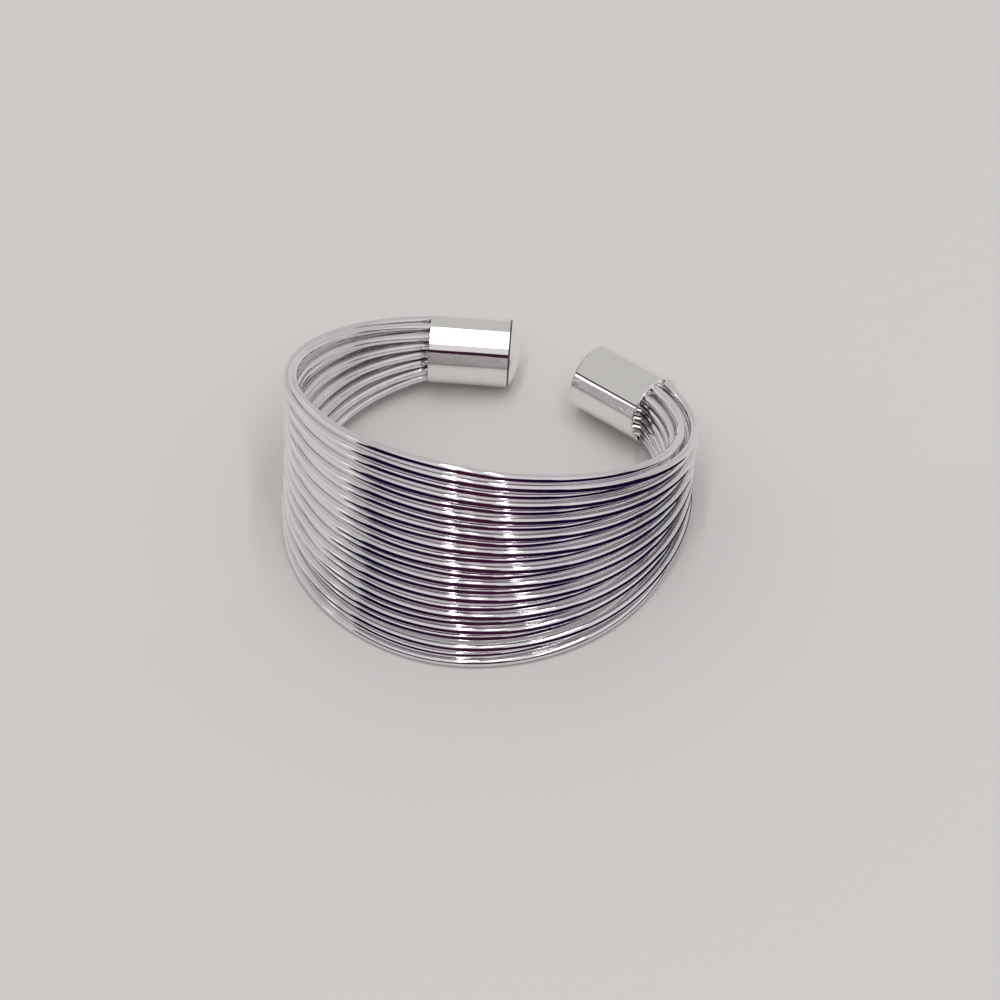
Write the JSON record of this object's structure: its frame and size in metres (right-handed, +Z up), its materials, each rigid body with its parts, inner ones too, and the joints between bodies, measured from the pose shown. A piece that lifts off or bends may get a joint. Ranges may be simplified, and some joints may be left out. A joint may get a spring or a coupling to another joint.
{
  "type": "open cuff ring",
  "caption": "Open finger ring of fine side-by-side wires that draw together at the back into two short domed end tubes facing across a gap.",
  "frame": {"origin": "on the floor under the middle of the ring's outside box, as it rests", "axes": "+Z up, -Y to the broad front of the band, +Y to the open back with the two end tubes, +X to the right-hand tube"},
  "size_m": [0.0192, 0.0192, 0.0106],
  "materials": {
    "wire_silver": "mirror-polished silver plate",
    "tube_silver": "mirror-polished silver plate"
  },
  "bodies": {
    "root": {"wire_01": "wire_silver", "wire_02": "wire_silver", "wire_03": "wire_silver", "wire_04": "wire_silver", "wire_05": "wire_silver", "wire_06": "wire_silver", "wire_07": "wire_silver", "wire_08": "wire_silver", "wire_09": "wire_silver", "wire_10": "wire_silver", "wire_11": "wire_silver", "wire_12": "wire_silver", "wire_13": "wire_silver", "wire_14": "wire_silver", "wire_15": "wire_silver", "wire_16": "wire_silver", "wire_17": "wire_silver", "wire_18": "wire_silver", "wire_19": "wire_silver", "wire_20": "wire_silver", "wire_21": "wire_silver", "wire_22": "wire_silver", "wire_23": "wire_silver", "wire_24": "wire_silver", "tube_right": "tube_silver", "tube_left": "tube_silver"}
  },
  "joints": []
}
